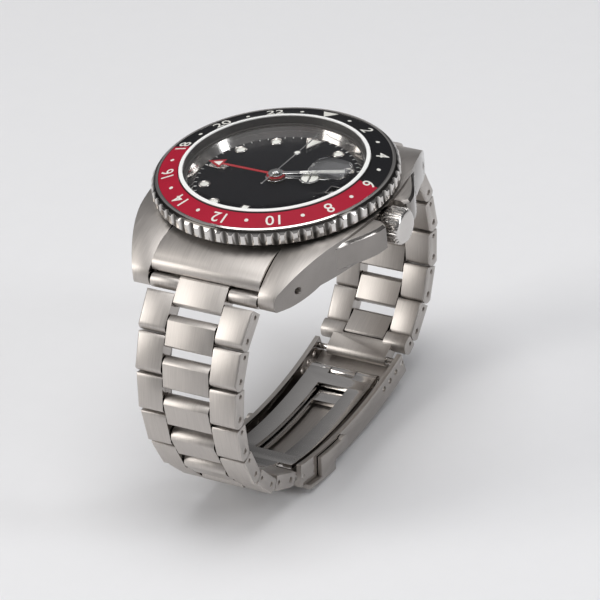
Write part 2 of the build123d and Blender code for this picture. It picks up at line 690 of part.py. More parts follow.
def end_link():
    """Fills the lug gap; two side barrels carry the bracelet's first pin."""
    body = make_face([Plane.YZ * e for e in (
        Line((14.5, 6.5), (17.6, 6.45)),
        ThreePointArc((17.6, 6.45), (20.3, 5.85), (22.5, 4.55)),
        ThreePointArc((22.5, 4.55), (23.15, 3.95), (23.35, 3.1)),
        Line((23.35, 3.1), (23.0, 0.3)),
        Line((23.0, 0.3), (20.6, 0.35)),
        Line((20.6, 0.35), (17.0, 2.0)),
        Line((17.0, 2.0), (14.5, 2.0)),
        Line((14.5, 2.0), (14.5, 6.5)),
    )])
    link = across(body, -9.9, 9.9)
    link -= ring(WALL_R + 0.06, 0, -5, 20)
    link -= rod_x(HINGE_Y, HINGE_Z, END_R + 0.14, -12, 12)
    link -= rod_x(SPRING_BAR_Y, SPRING_BAR_Z, SPRING_BAR_R + 0.04, -12, 12)
    inner_x = centre_half(0) + SIDE_GAP
    barrel_r = 1.2
    barrel = rod_x(HINGE_Y, HINGE_Z, barrel_r, inner_x, 9.75)
    web = side_polygon([(HINGE_Y, -0.1), (20.8, 0.35), (20.8, 0.95), (HINGE_Y, 1.6)], inner_x, 9.75)
    side = barrel + (web - rod_x(SPRING_BAR_Y, SPRING_BAR_Z, SPRING_BAR_R + 0.04, -12, 12))
    side -= rod_x(HINGE_Y, HINGE_Z, PIN_R, 0, 12)
    joined = link + side + mirror(side, Plane.YZ)
    return joined.solids() + [rod_x(HINGE_Y, HINGE_Z, PIN_R, -9.75, 9.75)]


# ---- clasp --------------------------------------------------------------------------
CLASP_CENTRE_Z = CLASP_PIVOT[1] - CLASP_DROP + sqrt(CLASP_R**2 - CLASP_PIVOT[0] ** 2)


def clasp_point(y, depth):
    """A point at a depth inside the clasp's curved outer face."""
    radius = CLASP_R - depth
    return y, CLASP_CENTRE_Z - sqrt(radius**2 - y**2)


def curved_plate(depth0, depth1, y0, y1, x0, x1):
    """A plate between two depths of the clasp's curve, with radial ends."""
    def at(y, depth):
        angle = asin(y / CLASP_R)
        radius = CLASP_R - depth
        return radius * sin(angle), CLASP_CENTRE_Z - radius * cos(angle)
    middle = (y0 + y1) / 2
    edges = [
        ThreePointArc(at(y0, depth0), at(middle, depth0), at(y1, depth0)),
        Line(at(y1, depth0), at(y1, depth1)),
        ThreePointArc(at(y1, depth1), at(middle, depth1), at(y0, depth1)),
        Line(at(y0, depth1), at(y0, depth0)),
    ]
    return across(make_face([Plane.YZ * e for e in edges]), x0, x1)


def clasp_cover():
    """Curved cover with side walls, adjustment holes and its hinge-pin holes."""
    inner_x = CLASP_HALF_W - CLASP_WALL
    body = curved_plate(0, CLASP_SHEET, PLATE_Y0, PLATE_Y1, -CLASP_HALF_W, CLASP_HALF_W)
    for side in both_sides(curved_plate(0, CLASP_WALL_DEPTH, PLATE_Y0 - 0.5, PLATE_Y1 + 0.3,
                                        inner_x, CLASP_HALF_W)):
        body += side
    body -= rod_x(*CLASP_PIVOT, PIN_R, -12, 12)
    for n in range(1, 4):
        body -= rod_x(*clasp_point(CLASP_PIVOT[0] - 2.1 * n, 2.4), PIN_R, -12, 12)
    body -= rod_x(*clasp_point(CLASP_HINGE_Y, CLASP_PIN_DEPTH), CLASP_PIN_R, -12, 12)
    body -= rod_x(*clasp_point(CATCH_PIN_Y, CATCH_PIN_DEPTH), CLASP_PIN_R + RUNNING, -12, 12)
    return body


def clasp_pins():
    """Spring bar to the bracelet and the cover's hinge pin, both held in the cover."""
    half = CLASP_HALF_W - 0.1
    return [
        rod_x(*CLASP_PIVOT, PIN_R, -half, half),
        rod_x(*clasp_point(CLASP_HINGE_Y, CLASP_PIN_DEPTH), CLASP_PIN_R, -half, half),
    ]


def clasp_middle_blade():
    y0, z0 = clasp_point(CLASP_HINGE_Y, CLASP_PIN_DEPTH)
    y1, z1 = clasp_point(BLADE_HINGE_Y, BLADE_HINGE_DEPTH)
    blade_body = curved_plate(MIDDLE_DEPTH, MIDDLE_DEPTH + BLADE_T, y0 + 0.2, y1 - 1.0,
                              -BLADE_HALF_W, BLADE_HALF_W)
    blade_body += curved_plate(MIDDLE_DEPTH, MIDDLE_DEPTH + BLADE_T, y1 - 1.4, y1, -2.3, 2.3)
    blade_body -= Pos(0, -2, z0) * Box(4.6, 17, 8)
    blade_body += rod_x(y0, z0, 0.68, -BLADE_HALF_W, BLADE_HALF_W)
    blade_body += rod_x(y1, z1, 0.95, -2.3, 2.3)
    blade_body -= rod_x(y0, z0, CLASP_PIN_R + RUNNING, -9, 9)
    blade_body -= rod_x(y1, z1, CLASP_PIN_R + RUNNING, -9, 9)
    return blade_body


def clasp_inner_blade():
    """Inner blade with its knuckles, the pin between the blades and the bracelet knuckle."""
    y1, z1 = clasp_point(BLADE_HINGE_Y, BLADE_HINGE_DEPTH)
    y_end, z_end = -CLASP_PIVOT[0], CLASP_PIVOT[1]
    knuckle_half = centre_half(len(ROW_SLOPES) - 1) - 0.05
    sheet0, sheet1 = INNER_DEPTH, INNER_DEPTH + BLADE_T
    body = curved_plate(sheet0, sheet1, -15.6, y1 - 1.0, -6.2, 6.2)
    body += curved_plate(sheet0, sheet1, y_end, -15.0, -knuckle_half, knuckle_half)
    for piece in both_sides(curved_plate(sheet0, sheet1, y1 - 1.4, y1, 2.42, 6.2)):
        body += piece
    body -= Pos(0, -1, z1) * Box(5.6, 21, 8)
    for piece in both_sides(rod_x(y1, z1, 0.95, 2.42, 6.2)):
        body += piece
    body -= rod_x(y1, z1, CLASP_PIN_R, -9, 9)
    body += rod_x(y_end, z_end, 1.0, -knuckle_half, knuckle_half)
    body -= rod_x(y_end, z_end, PIN_R + RUNNING, -9, 9)
    return body.solids() + [rod_x(y1, z1, CLASP_PIN_R, -6.1, 6.1)]


def clasp_catch():
    """Safety flap on the cover, on two side arms with stub pins."""
    out, arm_x = 0.12, CLASP_HALF_W + 0.12
    outer_x = arm_x + CATCH_T
    flap = curved_plate(-out - CATCH_T, -out, CATCH_Y0, CATCH_Y1, -outer_x, outer_x)
    flap += curved_plate(-out - CATCH_T - 0.45, -out, CATCH_Y0, CATCH_Y0 + 0.6, -5.0, 5.0)
    arm = curved_plate(-out - CATCH_T, 3.4, CATCH_Y0 + 3.6, CATCH_Y1, arm_x, outer_x)
    y, z = clasp_point(CATCH_PIN_Y, CATCH_PIN_DEPTH)
    ear = rod_x(y, z, 1.15, arm_x, outer_x)
    ear += curved_plate(1.4, 3.4, CATCH_Y1 - 0.5, CATCH_PIN_Y, arm_x, outer_x)
    stub = rod_x(y, z, CLASP_PIN_R, arm_x - CLASP_WALL - 0.05, arm_x)
    for piece in both_sides(arm + ear + stub):
        flap += piece
    return flap


# ---- all pieces ---------------------------------------------------------------------
def parts():
    """Every node's name and its solids."""
    made = {
        "mid_case": mid_case(), "case_back": case_back(), "case_back_gasket": case_back_gasket(),
        "crown_tube": crown_tube(), "crown": crown(), "winding_stem": winding_stem(),
        "lug_spring_bars": lug_spring_bars(),
        "bezel_ring": bezel_ring(), "bezel_insert": bezel_insert(),
        "bezel_click_spring": bezel_click_spring(), "crystal_retainer": crystal_retainer(),
        "crystal": crystal(), "crystal_gasket": crystal_gasket(), "date_lens": date_lens(),
        "rehaut_ring": rehaut_ring(), "dial": dial(), "hour_markers": hour_markers(),
        "hour_hand": hour_hand(HOUR_HEADING), "minute_hand": minute_hand(MINUTE_HEADING),
        "gmt_hand": gmt_hand(GMT_HEADING), "seconds_hand": seconds_hand(SECONDS_HEADING),
        "hour_wheel": hour_wheel(), "gmt_wheel": gmt_wheel(), "cannon_pinion": cannon_pinion(),
        "date_disc": date_disc(), "movement_plate": movement_plate(),
        "train_bridge": train_bridge(), "balance_bridge": balance_bridge(), "barrel": barrel(),
        "centre_wheel": centre_wheel(), "third_wheel": third_wheel(),
        "fourth_wheel": fourth_wheel(), "escape_wheel": escape_wheel(),
        "pallet_fork": pallet_fork(), "balance_wheel": balance_wheel(),
        "hairspring": hairspring(), "rotor": rotor(), "rotor_bearing": rotor_bearing(),
        "casing_clamps": casing_clamps(), "clasp_cover": clasp_cover(),
        "clasp_pins": clasp_pins(), "clasp_middle_blade": clasp_middle_blade(),
        "clasp_inner_blade": clasp_inner_blade(), "clasp_catch": clasp_catch(),
        "end_link_12": end_link(), "end_link_6": [Rot(0, 0, 180) * s for s in end_link()],
    }
    last = len(ROW_SLOPES) - 1
    for row in range(len(ROW_SLOPES)):
        for side, name, end in ((1, "12", "clasp_cover"), (-1, "6", "clasp_blade")):
            pieces = link_row(row, end if row == last else None)
            made[f"links_{name}_row_{row + 1}"] = in_place(row, pieces, side)
    return made


def main():
    os.makedirs("parts", exist_ok=True)
    for name, made in parts().items():
        pieces = made if isinstance(made, list) else [made]
        solids = [solid for piece in pieces for solid in piece.solids()]
        shape = solids[0] if len(solids) == 1 else Compound(children=solids)
        export_step(shape, f"parts/{name}.step")
    print("hinges", [(round(y, 3), round(z, 3)) for y, z in HINGES])
    for label, y, depth in (("cover hinge", CLASP_HINGE_Y, CLASP_PIN_DEPTH),
                            ("blade hinge", BLADE_HINGE_Y, BLADE_HINGE_DEPTH),
                            ("catch hinge", CATCH_PIN_Y, CATCH_PIN_DEPTH)):
        print(label, [round(v, 3) for v in clasp_point(y, depth)])


main()
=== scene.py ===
"""Looks for the dual-time steel wristwatch, in metres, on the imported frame."""

import json
from math import atan2, cos, pi, radians, sin, tan

import bmesh
import bpy
from mathutils import Matrix, Vector


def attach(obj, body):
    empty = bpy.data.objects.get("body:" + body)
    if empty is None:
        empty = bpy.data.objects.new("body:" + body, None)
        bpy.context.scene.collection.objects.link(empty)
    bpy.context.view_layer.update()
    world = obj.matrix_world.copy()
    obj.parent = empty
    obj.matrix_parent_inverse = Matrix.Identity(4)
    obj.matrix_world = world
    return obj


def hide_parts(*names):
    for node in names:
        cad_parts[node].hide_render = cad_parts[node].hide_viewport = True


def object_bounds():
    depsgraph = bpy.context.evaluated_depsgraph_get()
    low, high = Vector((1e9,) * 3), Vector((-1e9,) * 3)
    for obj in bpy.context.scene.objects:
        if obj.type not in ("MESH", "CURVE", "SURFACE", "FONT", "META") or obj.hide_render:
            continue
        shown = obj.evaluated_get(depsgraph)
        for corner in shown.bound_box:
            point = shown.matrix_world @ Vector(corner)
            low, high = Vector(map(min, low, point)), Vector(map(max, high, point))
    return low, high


MM = 0.001
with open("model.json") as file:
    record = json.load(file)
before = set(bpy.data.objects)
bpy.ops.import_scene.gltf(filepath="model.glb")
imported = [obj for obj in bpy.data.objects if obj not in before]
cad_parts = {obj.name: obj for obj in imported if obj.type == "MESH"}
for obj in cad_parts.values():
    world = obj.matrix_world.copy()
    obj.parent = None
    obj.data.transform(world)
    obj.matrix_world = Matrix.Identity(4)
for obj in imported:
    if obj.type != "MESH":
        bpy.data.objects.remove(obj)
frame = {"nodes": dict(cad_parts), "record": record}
nodes = frame["nodes"]
cad_bounds = [list(corner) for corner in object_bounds()]


# ---- materials ----------------------------------------------------------------------
def new_material(name):
    """A new node material, with its node tree and its shader."""
    mat = bpy.data.materials.new(name)
    mat.use_nodes = True
    tree = mat.node_tree
    shader = tree.nodes["Principled BSDF"]
    return mat, tree, shader


def add(tree, kind, **settings):
    node = tree.nodes.new(kind)
    for key, value in settings.items():
        setattr(node, key, value)
    return node


def stretched_noise(tree, scale, detail):
    """Noise in the piece's own coordinates; scale is its frequency per metre on each axis."""
    coords = add(tree, "ShaderNodeTexCoord")
    mapping = add(tree, "ShaderNodeMapping")
    mapping.inputs["Scale"].default_value = scale
    noise = add(tree, "ShaderNodeTexNoise")
    noise.inputs["Scale"].default_value = 1.0
    noise.inputs["Detail"].default_value = detail
    tree.links.new(coords.outputs["Object"], mapping.inputs["Vector"])
    tree.links.new(mapping.outputs["Vector"], noise.inputs["Vector"])
    return noise.outputs["Fac"]


def mapped(tree, value, low, high, start=0.3, end=0.7):
    """Stretches a value between start and end over the range low to high."""
    node = add(tree, "ShaderNodeMapRange", clamp=True)
    node.inputs["From Min"].default_value = start
    node.inputs["From Max"].default_value = end
    node.inputs["To Min"].default_value = low
    node.inputs["To Max"].default_value = high
    tree.links.new(value, node.inputs["Value"])
    return node.outputs["Result"]


def mix_colour(tree, factor, first, second):
    node = add(tree, "ShaderNodeMix", data_type="RGBA")
    tree.links.new(factor, node.inputs["Factor"])
    node.inputs[6].default_value = (*first, 1)
    node.inputs[7].default_value = (*second, 1)
    return node.outputs[2]


def mix_linked(tree, factor, first, second):
    """Mixes two colours that other nodes make."""
    node = add(tree, "ShaderNodeMix", data_type="RGBA")
    tree.links.new(factor, node.inputs["Factor"])
    tree.links.new(first, node.inputs[6])
    tree.links.new(second, node.inputs[7])
    return node.outputs[2]


def mix_value(tree, factor, first, second):
    node = add(tree, "ShaderNodeMix", data_type="FLOAT")
    tree.links.new(factor, node.inputs["Factor"])
    tree.links.new(first, node.inputs[2])
    tree.links.new(second, node.inputs[3])
    return node.outputs[0]


def bumped(tree, shader, height, distance):
    """Bump of the given depth, in metres."""
    node = add(tree, "ShaderNodeBump")
    node.inputs["Strength"].default_value = 1.0
    node.inputs["Distance"].default_value = distance
    tree.links.new(height, node.inputs["Height"])
    tree.links.new(node.outputs["Normal"], shader.inputs["Normal"])


def dimmed(colour, share):
    return tuple(c * share for c in colour)


def object_axis(tree, axis):
    """Where the surface is along one of the piece's own axes, in metres."""
    coords = add(tree, "ShaderNodeTexCoord")
    parts = add(tree, "ShaderNodeSeparateXYZ")
    tree.links.new(coords.outputs["Object"], parts.inputs["Vector"])
    return parts.outputs[axis]


def axis_radius(tree):
    """How far the surface is from the watch's own axis, in metres."""
    coords = add(tree, "ShaderNodeTexCoord")
    flat = add(tree, "ShaderNodeVectorMath", operation="MULTIPLY")
    flat.inputs[1].default_value = (1, 1, 0)
    tree.links.new(coords.outputs["Object"], flat.inputs[0])
    radius = add(tree, "ShaderNodeVectorMath", operation="LENGTH")
    tree.links.new(flat.outputs["Vector"], radius.inputs[0])
    return radius.outputs["Value"]


def facing(tree, axis, start, end):
    """0 to 1 as the surface turns to face the piece's own axis, either way."""
    coords = add(tree, "ShaderNodeTexCoord")
    parts = add(tree, "ShaderNodeSeparateXYZ")
    tree.links.new(coords.outputs["Normal"], parts.inputs["Vector"])
    size = add(tree, "ShaderNodeMath", operation="ABSOLUTE")
    tree.links.new(parts.outputs[axis], size.inputs[0])
    return mapped(tree, size.outputs[0], 0.0, 1.0, start, end)


def polished(name, colour, rough=0.12):
    """Mirror-finished metal with faint hairlines and smears."""
    mat, tree, shader = new_material(name)
    smear = stretched_noise(tree, (260, 260, 260), 4)
    fine = stretched_noise(tree, (5200, 700, 700), 2)
    shader.inputs["Metallic"].default_value = 1.0
    metal = mix_colour(tree, smear, dimmed(colour, 0.9), colour)
    tree.links.new(metal, shader.inputs["Base Color"])
    tree.links.new(mapped(tree, smear, rough * 0.7, rough * 1.5), shader.inputs["Roughness"])
    bumped(tree, shader, fine, 0.0000015)
    return mat


def brushed(name, colour, polish_start, flank_shade_tones):
    """Steel brushed along the bracelet, with its side faces polished and darkened by painted
    shade.
    """
    mat, tree, shader = new_material(name)
    lines = stretched_noise(tree, (9000, 260, 260), 4)
    patches = stretched_noise(tree, (330, 330, 330), 3)
    shader.inputs["Metallic"].default_value = 1.0
    shader.inputs["Anisotropic"].default_value = 0.55
    tangent = add(tree, "ShaderNodeTangent", direction_type="RADIAL", axis="X")
    tree.links.new(tangent.outputs["Tangent"], shader.inputs["Tangent"])
    tone = mapped(tree, lines, 0.0, 1.0, 0.25, 0.75)
    ground = mix_colour(tree, tone, dimmed(colour, 0.8), colour)
    # Painted shade: the side faces get dimmed copies of the steel colour.
    flank = mix_colour(tree, patches, *(dimmed(colour, share) for share in flank_shade_tones))
    grained = mapped(tree, lines, 0.34, 0.52, 0.25, 0.75)
    smooth = mapped(tree, patches, 0.09, 0.17)
    share = facing(tree, "X", polish_start, polish_start + 0.12)
    tree.links.new(mix_value(tree, share, grained, smooth), shader.inputs["Roughness"])
    tree.links.new(mix_linked(tree, share, ground, flank), shader.inputs["Base Color"])
    flat = add(tree, "ShaderNodeMath", operation="SUBTRACT")
    flat.inputs[0].default_value = 1.0
    tree.links.new(share, flat.inputs[1])
    height = add(tree, "ShaderNodeMath", operation="MULTIPLY")
    tree.links.new(lines, height.inputs[0])
    tree.links.new(flat.outputs[0], height.inputs[1])
    bumped(tree, shader, height.outputs[0], 0.000006)
    return mat


def turned_grain(name, colour, rough=(0.22, 0.4)):
    """Metal with circular grain about the watch's own axis."""
    mat, tree, shader = new_material(name)
    noise = add(tree, "ShaderNodeTexNoise", noise_dimensions="1D")
    noise.inputs["Scale"].default_value = 9000
    noise.inputs["Detail"].default_value = 3
    tree.links.new(axis_radius(tree), noise.inputs["W"])
    grain = noise.outputs["Fac"]
    shader.inputs["Metallic"].default_value = 1.0
    metal = mix_colour(tree, grain, dimmed(colour, 0.82), colour)
    tree.links.new(metal, shader.inputs["Base Color"])
    tree.links.new(mapped(tree, grain, *rough), shader.inputs["Roughness"])
    bumped(tree, shader, grain, 0.000004)
    return mat


def coating(name, colour, rough, coat=0.0, variation=0.15, bump=0.000003, specular=0.5):
    """Lacquer, enamel, plastic or rubber with a fine uneven surface."""
    mat, tree, shader = new_material(name)
    fine = stretched_noise(tree, (3200, 3200, 3200), 4)
    broad = stretched_noise(tree, (240, 240, 240), 3)
    tint = mix_colour(tree, broad, dimmed(colour, 1 - variation), colour)
    tree.links.new(tint, shader.inputs["Base Color"])
    tree.links.new(mapped(tree, fine, rough * 0.85, rough * 1.2), shader.inputs["Roughness"])
    shader.inputs["Specular IOR Level"].default_value = specular
    shader.inputs["Coat Weight"].default_value = coat
    shader.inputs["Coat Roughness"].default_value = 0.06
    bumped(tree, shader, fine, bump)
    return mat


def banded_height(name, low_colour, high_colour, height_mm, rough=0.45):
    """A coating that changes colour at a height above the case back."""
    mat, tree, shader = new_material(name)
    share = mapped(tree, object_axis(tree, "Z"), 0.0, 1.0, (height_mm - 0.1) * MM, height_mm * MM)
    fine = stretched_noise(tree, (3200, 3200, 3200), 4)
    tree.links.new(mix_colour(tree, share, low_colour, high_colour), shader.inputs["Base Color"])
    tree.links.new(mapped(tree, fine, rough * 0.85, rough * 1.2), shader.inputs["Roughness"])
    bumped(tree, shader, fine, 0.000003)
    return mat


def grooved(name, groove_shade_colour, colour, radius0_mm, radius1_mm, rough=0.12):
    """Polished metal about the watch's axis, with painted shade that darkens its grooves towards
    the axis.
    """
    mat, tree, shader = new_material(name)
    share = mapped(tree, axis_radius(tree), 0.0, 1.0, radius0_mm * MM, radius1_mm * MM)
    smear = stretched_noise(tree, (260, 260, 260), 4)
    shader.inputs["Metallic"].default_value = 1.0
    tree.links.new(mix_colour(tree, share, groove_shade_colour, colour), shader.inputs["Base Color"])
    tree.links.new(mapped(tree, smear, rough * 0.7, rough * 1.5), shader.inputs["Roughness"])
    bumped(tree, shader, smear, 0.000002)
    return mat


def two_tone_insert(name, upper, lower):
    """Anodised ring: one colour over the 12 o'clock half, another over the 6 o'clock half."""
    mat, tree, shader = new_material(name)
    half = mapped(tree, object_axis(tree, "Y"), 0.0, 1.0, -0.00003, 0.00003)
    fine = stretched_noise(tree, (2600, 2600, 2600), 4)
    broad = stretched_noise(tree, (180, 180, 180), 3)
    worn_lower = mix_colour(tree, broad, dimmed(lower, 0.72), lower)
    worn_upper = mix_colour(tree, broad, dimmed(upper, 0.6), upper)
    tree.links.new(mix_linked(tree, half, worn_lower, worn_upper), shader.inputs["Base Color"])
    tree.links.new(mapped(tree, fine, 0.34, 0.48), shader.inputs["Roughness"])
    shader.inputs["Specular IOR Level"].default_value = 0.3
    bumped(tree, shader, fine, 0.000003)
    return mat


def clear(name, gloss_face, gloss_edge, start):
    """Coated sapphire: what lies below shows straight through, with a gloss at low angles."""
    mat, tree, shader = new_material(name)
    smear = stretched_noise(tree, (220, 220, 220), 3)
    gloss = add(tree, "ShaderNodeBsdfGlossy")
    gloss.inputs["Color"].default_value = (1, 1, 1, 1)
    tree.links.new(mapped(tree, smear, 0.01, 0.05), gloss.inputs["Roughness"])
    through = add(tree, "ShaderNodeBsdfTransparent")
    edge = add(tree, "ShaderNodeLayerWeight")
    mix = add(tree, "ShaderNodeMixShader")
    share = mapped(tree, edge.outputs["Facing"], gloss_face, gloss_edge, start, 1.0)
    tree.links.new(share, mix.inputs["Fac"])
    tree.links.new(through.outputs["BSDF"], mix.inputs[1])
    tree.links.new(gloss.outputs["BSDF"], mix.inputs[2])
    tree.nodes.remove(shader)
    tree.links.new(mix.outputs["Shader"], tree.nodes["Material Output"].inputs["Surface"])
    return mat


STEEL = (0.56, 0.525, 0.495)
BRIGHT = (0.68, 0.655, 0.63)
SHADED = (0.07, 0.066, 0.062)
INSERT_BLACK, INSERT_RED = (0.006, 0.006, 0.008), (0.42, 0.006, 0.03)
DIAL_BLACK = (0.005, 0.005, 0.007)
LOOKS = {
    # The last pair of each entry dims the side faces as painted shade, darker on the case than on
    # the links.
    "brushed_steel": brushed("brushed_steel_links", STEEL, 0.75, (0.75, 0.9)),
    "case_steel": brushed("case_steel", STEEL, 0.5, (0.42, 0.56)),
    "polished_steel": polished("polished_steel", BRIGHT),
    "bezel_insert": two_tone_insert("insert_two_tone", INSERT_BLACK, INSERT_RED),
    "sapphire": clear("sapphire_clear", 0.004, 0.45, 0.45),
    "gasket_white": banded_height("gasket_white", SHADED, (0.9, 0.9, 0.88), 11.45),
    "gasket_dark": coating("gasket_dark", (0.03, 0.03, 0.03), 0.7),
    "dial_black": coating("dial_gloss_black", DIAL_BLACK, 0.35, bump=0.000001, specular=0.06),
    "lume": coating("lume_pale", (0.92, 0.92, 0.86), 0.6, variation=0.05),
    "hands_steel": polished("hands_steel", (0.82, 0.82, 0.81), 0.14),
    "gmt_red": coating("hand_red", (0.46, 0.012, 0.02), 0.3, coat=0.4),
    "date_white": coating("date_white", (0.86, 0.86, 0.84), 0.4, variation=0.05),
    "nickel": turned_grain("nickel_grained", (0.62, 0.6, 0.56)),
    "wheel_brass": turned_grain("brass_grained", (0.78, 0.6, 0.3)),
    "tungsten": turned_grain("tungsten_grained", (0.36, 0.36, 0.36)),
    "spring_blue": polished("spring_blued", (0.07, 0.13, 0.5), 0.2),
}
EXTRA = {
    "print": coating("print_white", (0.85, 0.85, 0.82), 0.5, variation=0.05),
    "numeral": coating("numeral_pale", (0.78, 0.77, 0.72), 0.45, variation=0.08),
    "ink": coating("ink_black", (0.015, 0.015, 0.018), 0.5),
    "back": turned_grain("case_back_grained", STEEL),
    "knurl": polished("crown_steel", BRIGHT, 0.16),
    "lens": clear("sapphire_lens", 0.02, 0.85, 0.1),
    # The scalloped ring's grooves get painted shade, darkest inside 19.62 mm.
    "scalloped": grooved("bezel_scalloped", (0.07, 0.065, 0.06), BRIGHT, 19.62, 19.86),
}
RECORD = frame["record"]
SLOT_OF = {part["node"]: part["material_slot"] for part in RECORD["subparts"]}
BODY_OF = {node: body for body, held in RECORD["behaviour"]["bodies"].items() for node in held}


# ---- pieces -------------------------------------------------------------------------
def place_piece(mesh, name, body, material):
    """Links a mesh as a piece of the watch."""
    piece = bpy.data.objects.new(name, mesh)
    bpy.context.scene.collection.objects.link(piece)
    piece.data.materials.clear()
    piece.data.materials.append(material)
    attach(piece, body)
    return piece


SMOOTH_UP_TO = radians(34.0)
BEVEL_FROM = radians(32.0)


def shade_by_angle(bm):
    """Smooth shading, with the creases left sharp."""
    for face in bm.faces:
        face.smooth = True
    for edge in bm.edges:
        edge.smooth = len(edge.link_faces) == 2 and edge.calc_face_angle(pi) < SMOOTH_UP_TO


def refined(node, bevel_mm, segments=2, material=None):
    """A node's own shape with its hard edges rounded off to catch the light."""
    bm = bmesh.new()
    bm.from_mesh(nodes[node].data)
    bmesh.ops.remove_doubles(bm, verts=bm.verts, dist=2e-7)
    bmesh.ops.dissolve_limit(bm, angle_limit=radians(0.6), verts=bm.verts, edges=bm.edges)
    hard = [e for e in bm.edges if len(e.link_faces) == 2 and e.calc_face_angle(0) > BEVEL_FROM]
    bmesh.ops.bevel(bm, geom=hard, offset=bevel_mm * MM, segments=segments, profile=0.6,
                    affect="EDGES", clamp_overlap=True)
    shade_by_angle(bm)
    out = bpy.data.meshes.new(node + "_fine")
    bm.to_mesh(out)
    bm.free()
    if "custom_normal" in out.attributes:
        out.attributes.remove(out.attributes["custom_normal"])
    look = material or LOOKS[SLOT_OF[node]]
    piece = place_piece(out, node + "_fine", BODY_OF[node], look)
    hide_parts(node)


def mesh_of(name, build):
    """A mesh filled by build(bm)."""
    bm = bmesh.new()
    build(bm)
    bmesh.ops.recalc_face_normals(bm, faces=bm.faces)
    shade_by_angle(bm)
    mesh = bpy.data.meshes.new(name)
    bm.to_mesh(mesh)
    bm.free()
    return mesh


def add_lathe(bm, profile, centre, steps=40):
    """Turns (radius, height) points, in mm, about a vertical axis at centre."""
    rings = []
    for n in range(steps):
        a = 2 * pi * n / steps
        rings.append([
            bm.verts.new(((centre[0] + r * cos(a)) * MM, (centre[1] + r * sin(a)) * MM, z * MM))
            for r, z in profile
        ])
    for n in range(steps):
        one, two = rings[n], rings[(n + 1) % steps]
        for k in range(len(profile)):
            m = (k + 1) % len(profile)
            bm.faces.new((one[k], two[k], two[m], one[m]))


def add_dome(bm, radius, centre, z0, z1, steps=32, rings_count=5):
    """A shallow closed dome."""
    rows = []
    for k in range(rings_count):
        t = k / rings_count
        r, z = radius * cos(t * pi / 2), z0 + (z1 - z0) * (0.4 + 0.6 * sin(t * pi / 2))
        rows.append([
            bm.verts.new(((centre[0] + r * cos(2 * pi * n / steps)) * MM,
                          (centre[1] + r * sin(2 * pi * n / steps)) * MM, z * MM))
            for n in range(steps)
        ])
    base = [bm.verts.new((v.co.x, v.co.y, z0 * MM)) for v in rows[0]]
    rows.insert(0, base)
    top = bm.verts.new((centre[0] * MM, centre[1] * MM, z1 * MM))
    for one, two in zip(rows, rows[1:]):
        for n in range(steps):
            m = (n + 1) % steps
            bm.faces.new((one[n], one[m], two[m], two[n]))
    for n in range(steps):
        bm.faces.new((rows[-1][n], rows[-1][(n + 1) % steps], top))
    bm.faces.new(list(reversed(base)))


def shrink(points, distance):
    """A convex outline moved inwards by a distance."""
    count = len(points)
    moved = []
    for n in range(count):
        a, b, c = (Vector(points[(n + k) % count]) for k in (-1, 0, 1))
        u, v = (b - a).normalized(), (c - b).normalized()
        inward_u, inward_v = Vector((-u.y, u.x)), Vector((-v.y, v.x))
        bisector = (inward_u + inward_v).normalized()
        moved.append(b + bisector * distance / max(bisector.dot(inward_u), 0.2))
    return [tuple(p) for p in moved]


def add_loops(bm, loops, closed=True):
    """Skins a stack of equal loops of (x, y, z) points in mm."""
    rows = [[bm.verts.new(tuple(c * MM for c in p)) for p in loop] for loop in loops]
    count = len(rows[0])
    for one, two in zip(rows, rows[1:]):
        for n in range(count):
            m = (n + 1) % count
            bm.faces.new((one[n], one[m], two[m], two[n]))
    if closed:
        bm.faces.new(list(reversed(rows[0])))
        bm.faces.new(rows[-1])
    return rows


def lifted(points, z):
    return [(x, y, z) for x, y in points]


def add_frame(bm, outline, z0, z1, rim):
    """A bevelled metal frame that follows an outline, hollow in the middle."""
    inner = shrink(outline, rim)
    loops = [
        lifted(outline, z0), lifted(outline, z1 - 0.06), lifted(shrink(outline, 0.06), z1),
        lifted(shrink(outline, rim - 0.05), z1), lifted(inner, z1 - 0.05), lifted(inner, z0),
    ]
    rows = add_loops(bm, loops, closed=False)
    count = len(outline)
    for n in range(count):
        m = (n + 1) % count
        bm.faces.new((rows[-1][n], rows[-1][m], rows[0][m], rows[0][n]))


def add_fill(bm, outline, z0, z1):
    """A slightly crowned filling inside an outline."""
    loops = [lifted(outline, z0), lifted(outline, z1 - 0.05), lifted(shrink(outline, 0.1), z1)]
    add_loops(bm, loops)


def turned_outline(points, angle, centre=(0, 0)):
    c, s = cos(radians(angle)), sin(radians(angle))
    return [(centre[0] + x * c - y * s, centre[1] + x * s + y * c) for x, y in points]


def polar(radius, angle):
    return radius * cos(radians(angle)), radius * sin(radians(angle))


def add_text(bm, text, size_mm, matrix, embolden, depth_mm):
    """Adds a raised number, built from the default font, at a matrix."""
    curve = bpy.data.curves.new("text_source", "FONT")
    curve.body = text
    curve.size = size_mm * MM
    curve.extrude = depth_mm * MM / 2
    curve.offset = embolden * MM
    curve.align_x = "CENTER"
    curve.align_y = "CENTER"
    curve.resolution_u = 3
    source = bpy.data.objects.new("text_source", curve)
    bpy.context.scene.collection.objects.link(source)
    bpy.context.view_layer.update()
    evaluated = source.evaluated_get(bpy.context.evaluated_depsgraph_get())
    mesh = bpy.data.meshes.new_from_object(evaluated)
    mesh.transform(matrix)
    bm.from_mesh(mesh)
    bpy.data.meshes.remove(mesh)
    bpy.data.objects.remove(source)
    bpy.data.curves.remove(curve)


# ---- bezel --------------------------------------------------------------------------
INSERT_INNER, INSERT_OUTER, INSERT_HIGH, INSERT_LOW = 15.55, 18.75, 11.2, 10.45
INSERT_SLOPE = atan2(INSERT_HIGH - INSERT_LOW, INSERT_OUTER - INSERT_INNER)
NUMERAL_R, NUMERAL_SIZE = 17.1, 3.0
NUMERAL_Z = INSERT_HIGH - (NUMERAL_R - INSERT_INNER) * tan(INSERT_SLOPE)


